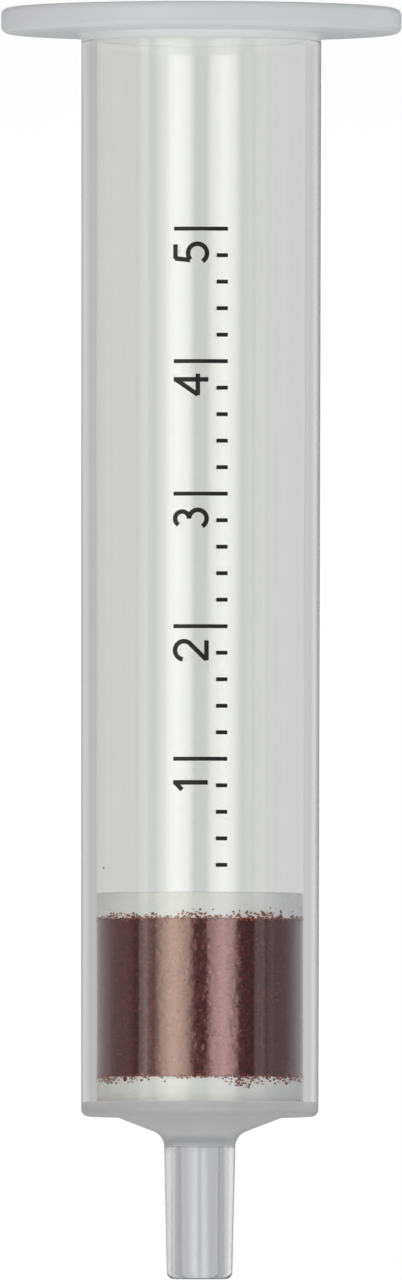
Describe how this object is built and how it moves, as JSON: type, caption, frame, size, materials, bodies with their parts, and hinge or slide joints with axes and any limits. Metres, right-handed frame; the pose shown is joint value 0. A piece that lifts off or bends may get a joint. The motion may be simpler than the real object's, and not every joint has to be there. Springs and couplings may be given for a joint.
{
  "type": "spe cartridge",
  "caption": "Clear syringe-style extraction column: flanged open mouth, purple-brown sorbent bed between white frits, ribbed collecting funnel and tapered outlet tip.",
  "frame": {"origin": "centre of the open mouth, in the flat face of the flange that the column stands on", "axes": "+Z along the column's axis from the open mouth to the outlet tip; +X and +Y are any two directions across it"},
  "size_m": [0.0242, 0.0242, 0.077],
  "materials": {
    "clear_polypropylene": "clear injection-moulded polypropylene with a slight milkiness, polished inside and out",
    "sintered_polyethylene": "white sintered porous polyethylene, fine-grained and matt",
    "sorbent_granules": "packed purple-brown granules, matt with a fine sparkle"
  },
  "bodies": {
    "root": {"barrel": "clear_polypropylene", "upper_frit": "sintered_polyethylene", "sorbent_bed": "sorbent_granules", "lower_frit": "sintered_polyethylene"}
  },
  "joints": []
}
